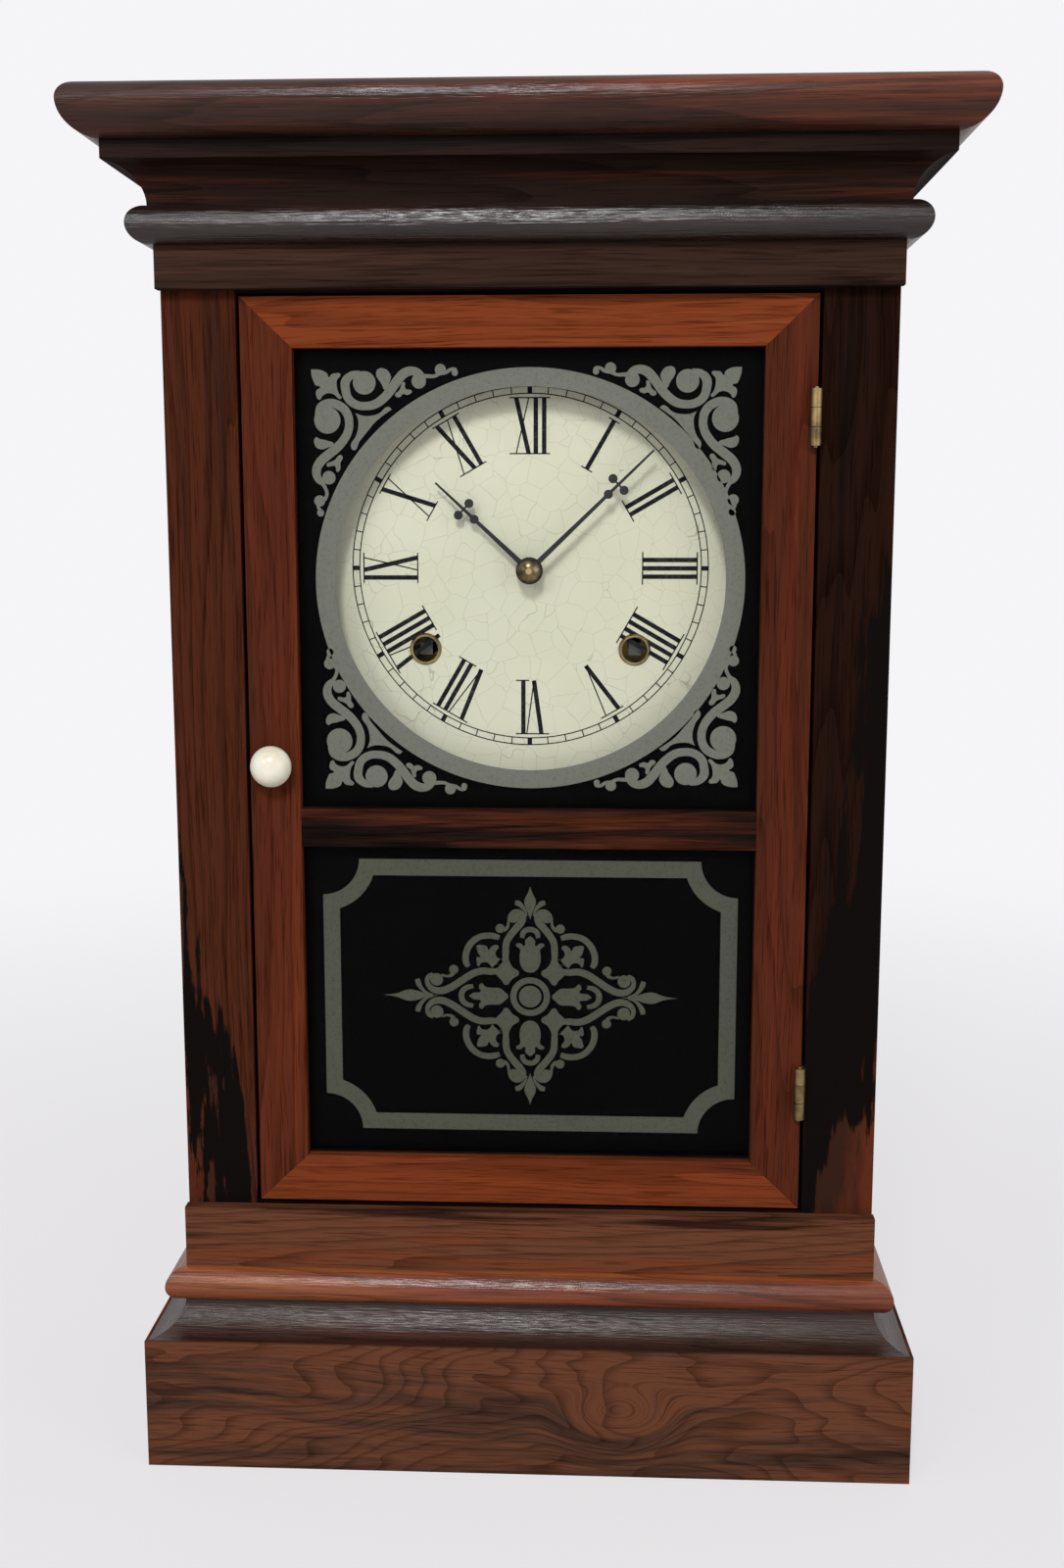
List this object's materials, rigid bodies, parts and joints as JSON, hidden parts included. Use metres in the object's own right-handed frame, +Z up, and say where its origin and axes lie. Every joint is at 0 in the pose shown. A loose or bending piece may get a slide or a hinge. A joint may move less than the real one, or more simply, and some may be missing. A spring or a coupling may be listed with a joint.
{
  "type": "shelf clock",
  "caption": "Cornice-top wooden shelf clock: hinged glazed door with knob, painted round dial with Roman numerals, silver-stencilled lower glass, moulded plinth, pendulum and gong inside.",
  "frame": {"origin": "middle of the footprint, on the surface the clock stands on", "axes": "+Z up, +X to the viewer's right, +Y from the dial towards the back"},
  "size_m": [0.3008, 0.1332, 0.4844],
  "materials": {
    "case_veneer": "dark figured veneer, varnished",
    "plinth_veneer": "dark figured veneer, varnished",
    "moulding_veneer": "dark veneer, glossy varnish",
    "door_veneer": "reddish figured veneer, varnished",
    "inner_wood": "plain softwood, unfinished",
    "window_glass": "clear, with a painted border on its back",
    "painted_glass": "painted on its back, black and silver",
    "hinge_brass": "aged, satin",
    "movement_brass": "aged, satin",
    "bright_brass": "polished",
    "steel": "plain steel",
    "blued_steel": "black",
    "dial_paint": "cream enamel paint with fine cracks",
    "bone": "polished, cream",
    "gong_iron": "dark",
    "screw_iron": "dull"
  },
  "bodies": {
    "case": {"side_boards": "case_veneer", "front_stiles": "case_veneer", "front_rails": "inner_wood", "frieze_board": "case_veneer", "lower_rail": "case_veneer", "case_shelves": "inner_wood", "back_board": "inner_wood", "cornice_top_board": "inner_wood", "glue_blocks": "inner_wood", "plinth": "plinth_veneer", "base_cove": "moulding_veneer", "base_bead": "moulding_veneer", "cornice_bead": "moulding_veneer", "cornice_cove": "moulding_veneer", "cornice_cap": "moulding_veneer", "hinge_case_leaves": "hinge_brass", "hinge_pins": "hinge_brass", "case_screws": "screw_iron", "dial_plate": "dial_paint", "dial_rails": "inner_wood", "dial_grommets": "bright_brass", "front_plate": "movement_brass", "back_plate": "movement_brass", "plate_pillars": "steel", "movement_feet": "inner_wood", "mainsprings": "blued_steel", "suspension": "steel", "gong": "gong_iron"},
    "door": {"door_right_stile": "door_veneer", "door_left_stile": "door_veneer", "door_top_rail": "door_veneer", "door_bottom_rail": "door_veneer", "door_middle_bar": "door_veneer", "dial_glass": "window_glass", "tablet_glass": "painted_glass", "glazing_beads": "inner_wood", "hinge_door_leaves": "hinge_brass", "hinge_door_screws": "screw_iron"},
    "latch": {"door_knob": "bone", "latch_tongue": "steel"},
    "minute": {"minute_hand": "blued_steel", "hand_nut": "bright_brass", "centre_wheel": "movement_brass"},
    "hour": {"hour_hand": "blued_steel", "hour_wheel": "movement_brass"},
    "motion": {"minute_wheel": "movement_brass"},
    "third": {"third_wheel": "movement_brass"},
    "escape": {"escape_wheel": "movement_brass"},
    "time_second": {"time_second_wheel": "movement_brass"},
    "time_great": {"time_great_wheel": "movement_brass"},
    "time_winding": {"time_winding_arbor": "steel"},
    "strike_second": {"strike_second_wheel": "movement_brass"},
    "strike_great": {"strike_great_wheel": "movement_brass"},
    "strike_winding": {"strike_winding_arbor": "steel"},
    "verge": {"verge": "steel"},
    "pendulum": {"pendulum_rod": "steel", "pendulum_bob": "bright_brass"},
    "hammer": {"hammer": "steel"}
  },
  "joints": [
    {"name": "door_swing", "type": "hinge", "parent": "case", "child": "door", "pos_m": [0.098, -0.0386, 0.2599], "axis": [0, 0, 1], "range_deg": [0, 105]},
    {"name": "latch_turn", "type": "hinge", "parent": "door", "child": "latch", "pos_m": [-0.0902, -0.0364, 0.2588], "axis": [0, 1, 0], "range_deg": [-90, 0]},
    {"name": "minute_turn", "type": "hinge", "parent": "case", "child": "minute", "pos_m": [0, 0.0086, 0.3268], "axis": [0, 1, 0], "continuous": true},
    {"name": "hour_turn", "type": "hinge", "parent": "case", "child": "hour", "pos_m": [0, 0.0086, 0.3268], "axis": [0, 1, 0], "continuous": true},
    {"name": "motion_turn", "type": "hinge", "parent": "case", "child": "motion", "pos_m": [-0.00764, 0.0086, 0.31916], "axis": [0, 1, 0], "continuous": true},
    {"name": "third_turn", "type": "hinge", "parent": "case", "child": "third", "pos_m": [0.00683, 0.0086, 0.34345], "axis": [0, 1, 0], "continuous": true},
    {"name": "escape_turn", "type": "hinge", "parent": "case", "child": "escape", "pos_m": [0, 0.0086, 0.3588], "axis": [0, 1, 0], "continuous": true},
    {"name": "time_second_turn", "type": "hinge", "parent": "case", "child": "time_second", "pos_m": [0.02105, 0.0086, 0.31728], "axis": [0, 1, 0], "continuous": true},
    {"name": "time_great_turn", "type": "hinge", "parent": "case", "child": "time_great", "pos_m": [0.0376, 0.0086, 0.2986], "axis": [0, 1, 0], "continuous": true},
    {"name": "time_winding_turn", "type": "hinge", "parent": "case", "child": "time_winding", "pos_m": [0.0376, 0.0086, 0.2986], "axis": [0, 1, 0], "continuous": true},
    {"name": "strike_great_turn", "type": "hinge", "parent": "case", "child": "strike_great", "pos_m": [-0.0376, 0.0086, 0.2986], "axis": [0, 1, 0], "continuous": true},
    {"name": "strike_second_turn", "type": "hinge", "parent": "case", "child": "strike_second", "pos_m": [-0.0376, 0.0086, 0.32356], "axis": [0, 1, 0], "continuous": true},
    {"name": "strike_winding_turn", "type": "hinge", "parent": "case", "child": "strike_winding", "pos_m": [-0.0376, 0.0086, 0.2986], "axis": [0, 1, 0], "continuous": true},
    {"name": "pendulum_swing", "type": "hinge", "parent": "case", "child": "pendulum", "pos_m": [0, 0.0086, 0.3763], "axis": [0, 1, 0], "range_deg": [-5, 5]},
    {"name": "verge_swing", "type": "hinge", "parent": "case", "child": "verge", "pos_m": [0, 0.0086, 0.3763], "axis": [0, 1, 0], "range_deg": [-5.5, 5.5]},
    {"name": "hammer_swing", "type": "hinge", "parent": "case", "child": "hammer", "pos_m": [-0.02, 0.0086, 0.2768], "axis": [0, 1, 0], "range_deg": [-4, 12]}
  ],
  "couplings": [
    {"joint": "hour_turn", "follows": "minute_turn", "ratio": 0.083333},
    {"joint": "motion_turn", "follows": "minute_turn", "ratio": -0.33333},
    {"joint": "third_turn", "follows": "minute_turn", "ratio": -8},
    {"joint": "escape_turn", "follows": "minute_turn", "ratio": 104},
    {"joint": "time_second_turn", "follows": "minute_turn", "ratio": -0.16667},
    {"joint": "time_great_turn", "follows": "minute_turn", "ratio": 0.02381},
    {"joint": "strike_second_turn", "follows": "strike_great_turn", "ratio": -7},
    {"joint": "verge_swing", "follows": "pendulum_swing", "ratio": 1}
  ]
}
